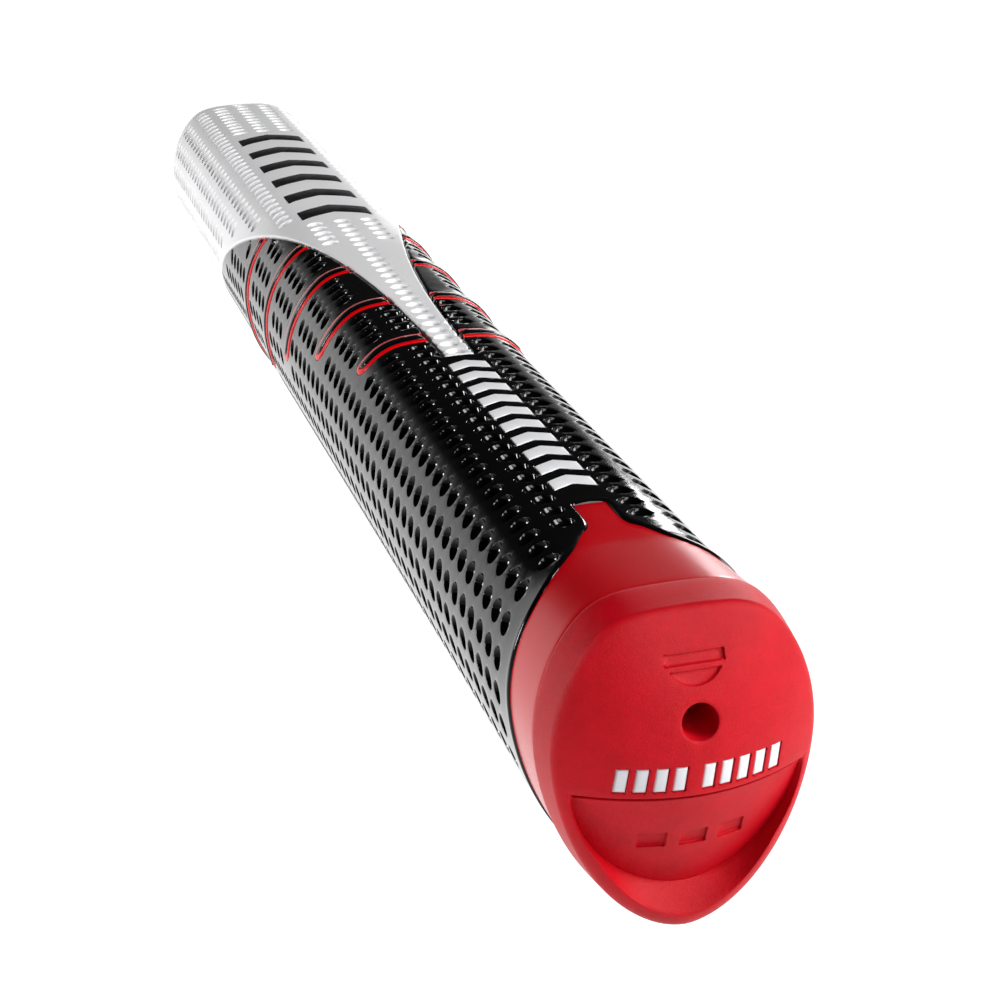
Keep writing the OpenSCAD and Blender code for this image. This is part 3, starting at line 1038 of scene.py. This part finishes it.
def panel_line_points():
    points = []
    for k in range(-PANEL_LINE_STEPS, PANEL_LINE_STEPS + 1):
        x = PANEL_HALF_WIDTH * k / PANEL_LINE_STEPS
        points += [(x, PANEL_LINE + up, depth) for up, depth in PANEL_LIP]
        if abs(k) < PANEL_LINE_STEPS:
            points += [(x, PANEL_LINE + up, PANEL_STEP + extra) for up, extra in PANEL_GROOVE]
    return points


HOLLOW_SIDES = 130
HOLLOW_STEP = 0.35
# Rings just inside the panel's round edge, as shares of its size, left out close under its line.
PANEL_RINGS = (0.96, 0.985, 0.997)
PANEL_RING_DROP = 0.6
# The foot of the hollow's wall lies this much over the panel's floor.
FOOT_RISE = 0.12
# The hollow's outer rim: distance from the ridge, and depth.
RIDGE_RIM = [(-0.05, 0.06), (0.07, 0.0)]
LEAST_WIDTH = 0.2


def hollow_points():
    """The panel's round edge, then the hollow's wall out to the ridge."""
    points = []
    for k in range(HOLLOW_SIDES):
        a = math.pi * (k + 0.5) / HOLLOW_SIDES
        px, pz = panel_point(a)
        rx, rz = ridge_point(px, pz)
        width = math.hypot(rx - px, rz - pz)
        foot = panel_recess(px, pz) - FOOT_RISE
        for scale in PANEL_RINGS:
            x, z = panel_point(a, scale)
            if PANEL_LINE - z > PANEL_RING_DROP:
                points.append((x, z, panel_recess(x, z)))
        steps = max(1, round(width / HOLLOW_STEP))
        shares = [(0.0, foot)] + [(j / steps, foot * (1 - j / steps)) for j in range(1, steps)]
        shares += [(1 + out / max(width, LEAST_WIDTH), depth) for out, depth in RIDGE_RIM]
        for t, depth in shares:
            points.append((px + (rx - px) * t, pz + (rz - pz) * t, depth))
    return points


# The plain grid of the face, and how far it stays from the other points.
FACE_STEP = 0.62
FACE_COLUMNS = 22
FACE_LOWEST_ROW = -36
FACE_HIGHEST_ROW = 17
FACE_SHARE = 0.97
VENT_MARGIN = 1.0
PANEL_GAP_BELOW = 0.75
PANEL_GAP_ABOVE = 0.3
PANEL_INNER_MARGIN = 0.6
PANEL_OUTER_MARGIN = 0.3
RIDGE_MARGIN = 0.02
POCKET_MARGIN = 0.22


def on_feature(x, z):
    """Whether a point lies on the vent, the panel's line, the hollow or the face's edge."""
    share = face_share(x, z)
    if math.hypot(x, z) < VENT_RADIUS + VENT_MARGIN or share > FACE_SHARE:
        return True
    on_line = -PANEL_GAP_BELOW < z - PANEL_LINE < PANEL_GAP_ABOVE
    if on_line and abs(x) < PANEL_HALF_WIDTH + PANEL_OUTER_MARGIN:
        return True
    if z >= PANEL_LINE or in_panel(x, z, -PANEL_INNER_MARGIN):
        return False
    return share < RIDGE_SHARE + RIDGE_MARGIN or in_panel(x, z, PANEL_OUTER_MARGIN)


def face_grid(blocked):
    """Points that keep the triangles small where the face is plain."""
    points = []
    for i in range(-FACE_COLUMNS, FACE_COLUMNS + 1):
        for j in range(FACE_LOWEST_ROW, FACE_HIGHEST_ROW + 1):
            x = FACE_STEP * (i + 0.5 * (j % 2))
            z = FACE_STEP * j
            if not on_feature(x, z) and not any(in_loop((x, z), loop) for loop in blocked):
                points.append((x, z, panel_recess(x, z) if in_panel(x, z, 0) else 0.0))
    return points


ROLL_RINGS = 10
# The side wall down to its softened corner at the parting: distance along the bore, and inset.
CAP_SIDE = [
    (-2.4, CAP_DRAFT * 0.58), (-1.2, CAP_DRAFT * 0.25), (-0.5, 0.04),
    (-0.22, 0.05), (-0.07, 0.11), (0.0, 0.24)]


def cap_side_rings():
    """The rolled edge, then the side wall."""
    angles = [a if a <= math.pi else a - 2 * math.pi for a in FACE_ANGLES]
    rings = []
    for k in range(ROLL_RINGS):
        t = k / (ROLL_RINGS - 1)
        rings.append([roll_point(a, reach, t) for a, reach in zip(angles, EDGE_REACH)])
    for y, inset in CAP_SIDE:
        rings.append([Vector((p.x, y, p.z)) for p in (body_point(0, a, inset) for a in angles)])
    return rings


def parting_point(x, z, depth):
    return Vector((x, depth, z))


def build_cap():
    outline = [(p.x, p.z, 0.0) for p in FACE_EDGE][::-1]
    points = [(x, z, depth) for extra, depth in VENT_RIM for x, z in vent_loop(VENT_RADIUS + extra)]
    pockets = face_pockets()
    for loop, depth, floor in pockets:
        points += pocket_points(loop, depth, floor)
    points += panel_line_points()
    points += hollow_points()
    points += face_grid([grown(resample(loop, POCKET_STEP), POCKET_MARGIN) for loop, _, _ in pockets])
    hole = [(x, z, VENT_EDGE_DEPTH) for x, z in vent_loop(VENT_RADIUS)]
    parts = [sheet(face_point, outline, [hole], points)]
    rings = cap_side_rings()
    parts.append(strip(rings, True))
    back = [(p.x, p.z, 0.0) for p in rings[-1]][::-1]
    back_hole = [(x, z, 0.0) for x, z, _ in hole]
    tube = [[face_point(*p) for p in hole], [parting_point(*p) for p in back_hole]]
    parts.append(strip(tube, True))
    parts.append(sheet(parting_point, back, [back_hole], [], flip=True))
    piece = make_piece("butt_cap_red", parts, CAP_RED, 38)
    hand_over(piece, "butt_cap")


# A bar sits in its pocket with a little play. Its softened edge: growth of its outline, and depth.
BAR_PLAY = 0.06
BAR_EDGE_DEPTH = 0.2
BAR_EDGE = [(-0.06, 0.12), (-0.2, 0.09)]
BAR_FOOT_DEPTH = 0.5


def build_cap_bars():
    parts = []
    for k in range(BAR_COUNT):
        loop = grown(resample(bar_outline(k), POCKET_STEP), -BAR_PLAY)
        outline = [(*p, BAR_EDGE_DEPTH) for p in loop]
        points = [(*p, depth) for growth, depth in BAR_EDGE for p in grown(loop, growth)]
        under = [(x, z, BAR_FOOT_DEPTH) for x, z, _ in outline]
        parts.append(sheet(face_point, outline, [], points))
        parts.append(sheet(face_point, under, [], [], flip=True))
        parts.append(strip([[face_point(*p) for p in outline], [face_point(*p) for p in under]], True))
    piece = make_piece("cap_bars_white", parts, INLAY_WHITE, 50)
    hand_over(piece, "cap_inlay")


# ---------------------------------------------------------------- surroundings
# In metres: half the floor's side, and its height under the bore.
FLOOR_SIZE = 6.0
FLOOR_LEVEL = -0.16


def build_camera():
    """A camera before the cap, to its left and above it, that looks along the grip."""
    heading, dip, roll = math.radians(14.5), math.radians(21.79), math.radians(1.98)
    data = bpy.data.cameras.new("camera")
    data.sensor_width = 36
    data.lens = 70.64
    data.shift_x = -0.0014
    data.shift_y = 0.031
    data.clip_start = 0.01
    data.clip_end = 50
    camera = bpy.data.objects.new("camera", data)
    turn = Matrix.Rotation(-heading, 4, "Z") @ Matrix.Rotation(math.pi / 2 - dip, 4, "X")
    turn = turn @ Matrix.Rotation(-roll, 4, "Z")
    camera.matrix_world = Matrix.Translation(Vector((-51.87, -144.47, 75.83)) * MM) @ turn
    bpy.context.scene.collection.objects.link(camera)
    bpy.context.scene.camera = camera


def turned_axis(tree, vector):
    """How far a point lies towards the right rear of the set, where the light sweep is."""
    mapping = tree.nodes.new("ShaderNodeMapping")
    mapping.inputs["Rotation"].default_value = (0, 0, math.radians(45))
    tree.links.new(vector, mapping.inputs["Vector"])
    split = tree.nodes.new("ShaderNodeSeparateXYZ")
    tree.links.new(mapping.outputs["Vector"], split.inputs["Vector"])
    return split.outputs["Y"]


def build_world():
    """A studio that is bright at the horizon, dark overhead, and brightest to the right rear."""
    world = bpy.data.worlds.new("studio")
    bpy.context.scene.world = world
    world.use_nodes = True
    tree = world.node_tree
    coordinates = tree.nodes.new("ShaderNodeTexCoord")
    split = tree.nodes.new("ShaderNodeSeparateXYZ")
    tree.links.new(coordinates.outputs["Generated"], split.inputs["Vector"])
    half = tree.nodes.new("ShaderNodeMapRange")
    half.inputs["From Min"].default_value = -1
    half.inputs["From Max"].default_value = 1
    tree.links.new(split.outputs["Z"], half.inputs["Value"])
    sky = ramp(tree, half.outputs["Result"], [
        (0.5, (1.0, 1.0, 1.0)),
        (0.535, (0.85, 0.85, 0.85)),
        (0.57, (0.3, 0.3, 0.3)),
        (0.615, (0.015, 0.015, 0.015)),
        (1.0, (0.01, 0.01, 0.01))])
    tree.links.new(sky, tree.nodes["Background"].inputs["Color"])
    back = tree.nodes.new("ShaderNodeMapRange")
    back.inputs["From Min"].default_value = -0.6
    back.inputs["From Max"].default_value = 0.4
    back.inputs["To Min"].default_value = 0.4
    back.inputs["To Max"].default_value = 1.0
    turned = turned_axis(tree, coordinates.outputs["Generated"])
    tree.links.new(turned, back.inputs["Value"])
    tree.links.new(back.outputs["Result"], tree.nodes["Background"].inputs["Strength"])


def build_floor():
    """A pale floor whose glow is painted light: bright like a lit sweep behind the grip, falling off in
    front of the cap.
    """
    material, tree, shader = node_material("floor_pale")
    clouds = noise(tree, 3.0, 3.0)
    tree.links.new(ramp(tree, clouds, [(0.3, (0.28, 0.28, 0.28)), (0.7, (0.3, 0.3, 0.3))]),
                   shader.inputs["Base Color"])
    shader.inputs["Roughness"].default_value = 0.9
    coordinates = tree.nodes["Texture Coordinate"]
    # Painted light: the floor's emission grows towards the right rear, like the light of a lit sweep.
    painted_glow = tree.nodes.new("ShaderNodeMapRange")
    painted_glow.inputs["From Min"].default_value = -0.4
    painted_glow.inputs["From Max"].default_value = 0.08
    painted_glow.inputs["To Min"].default_value = 0.2
    painted_glow.inputs["To Max"].default_value = 1.0
    tree.links.new(turned_axis(tree, coordinates.outputs["Object"]), painted_glow.inputs["Value"])
    tree.links.new(painted_glow.outputs["Result"], shader.inputs["Emission Strength"])
    shader.inputs["Emission Color"].default_value = (1, 1, 1, 1)
    mesh = bpy.data.meshes.new("floor")
    corners = ((-1, -1), (1, -1), (1, 1), (-1, 1))
    mesh.from_pydata(
        [(FLOOR_SIZE * x, FLOOR_SIZE * y, FLOOR_LEVEL) for x, y in corners], [], [(0, 1, 2, 3)])
    mesh.materials.append(material)
    floor = bpy.data.objects.new("floor", mesh)
    bpy.context.scene.collection.objects.link(floor)


def softbox(name, place, target, width, height, power, shape="RECTANGLE"):
    data = bpy.data.lights.new(name, "AREA")
    data.shape = shape
    data.size = width
    data.size_y = height
    data.energy = power
    light = bpy.data.objects.new(name, data)
    light.location = place
    light.rotation_euler = (Vector(target) - Vector(place)).to_track_quat("-Z", "Y").to_euler()
    bpy.context.scene.collection.objects.link(light)


build_camera()
build_world()
build_floor()
# The key stands to the right front and the weaker fill in front. The round side and back lights stand to
# the left and the right rear, and the card is a low, weak strip behind the grip.
middle = (0, 0.08, 0)
softbox("key", (0.76, -0.42, 0.56), middle, 0.5, 0.5, 12)
softbox("fill", (0.26, -0.72, 0.32), middle, 0.4, 0.4, 3)
softbox("side", (-0.85, 0.14, 0.1), middle, 0.24, 0.24, 5, "ELLIPSE")
softbox("back", (0.55, 0.85, 0.24), middle, 0.26, 0.26, 2.2, "ELLIPSE")
softbox("card", (0.52, 1.15, 0.0), middle, 0.8, 0.13, 0.5)

build_cap()
build_cap_bars()
build_collar()
build_grip_skin()
build_tip_skin()
for number in range(1, BAND_COUNT + 1):
    build_band(number, -1, f"band_line_left_{number}")
    build_band(number, 1, f"band_line_right_{number}")
for number, loop in enumerate(sight_outlines(), 1):
    build_mark(f"sight_chevron_{number}", f"sight_mark_{number}", loop, MARK_WHITE)
for number, loop in enumerate(tip_outlines(), 1):
    build_mark(f"tip_chevron_{number}", f"tip_mark_{number}", loop, MARK_BLACK)

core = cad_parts["core"]
core.data.materials.clear()
core.data.materials.append(CORE_FOAM)

bpy.context.scene.view_settings.view_transform = "Standard"
